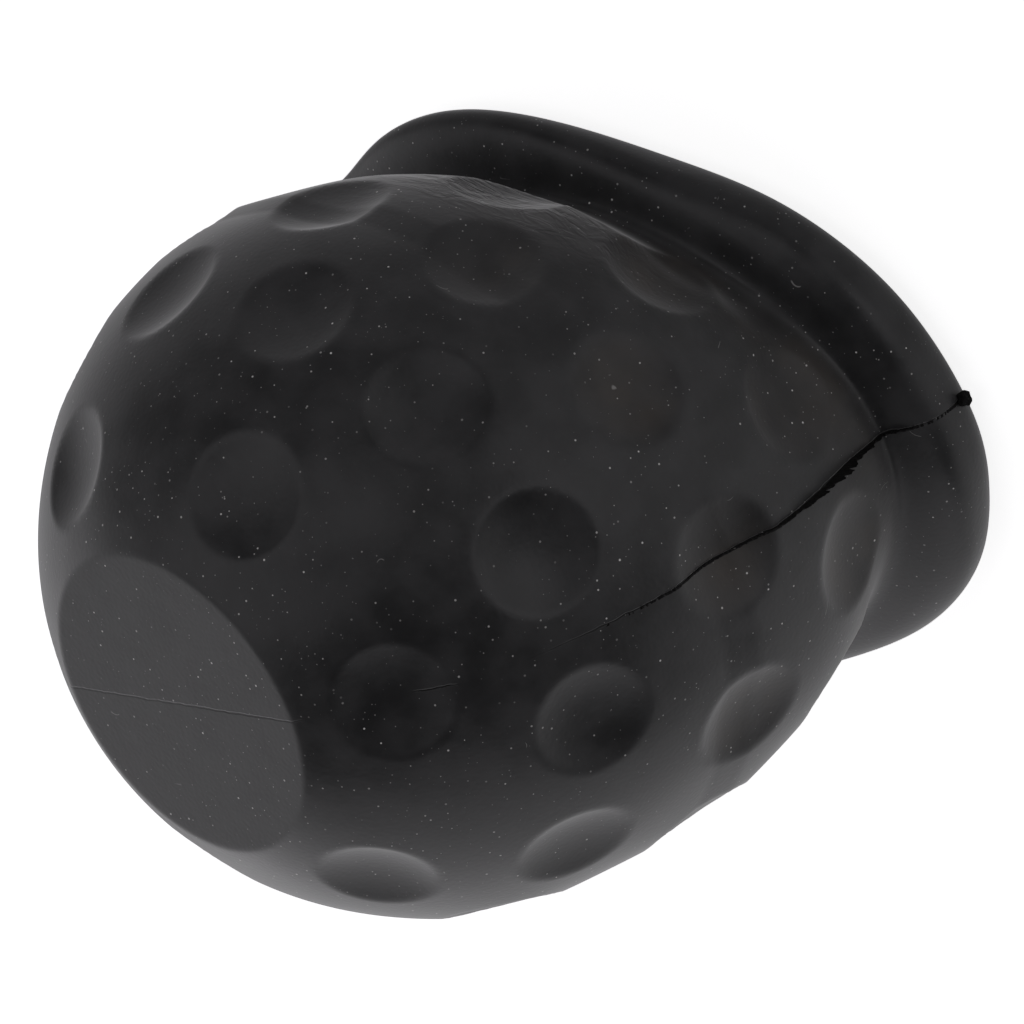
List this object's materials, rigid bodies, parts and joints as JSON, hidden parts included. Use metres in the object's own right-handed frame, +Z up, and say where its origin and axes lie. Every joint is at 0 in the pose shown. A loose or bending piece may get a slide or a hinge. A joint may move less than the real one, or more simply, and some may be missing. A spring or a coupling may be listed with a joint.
{
  "type": "tow ball cover",
  "caption": "Soft black cover for a tow ball: a dimpled ball with a flat crown, a round socket inside, and a narrowed neck above a thick flared collar.",
  "frame": {"origin": "on the floor plane of the rim, under the middle of the cover's box", "axes": "+Z up from the open rim to the crown, +X along the long way of the oval rim, in the plane of the mould seam"},
  "size_m": [0.0746, 0.0652, 0.0593],
  "materials": {
    "rubber": "matte moulded black rubber, a little dusty"
  },
  "bodies": {
    "root": {"cover": "rubber"}
  },
  "joints": []
}
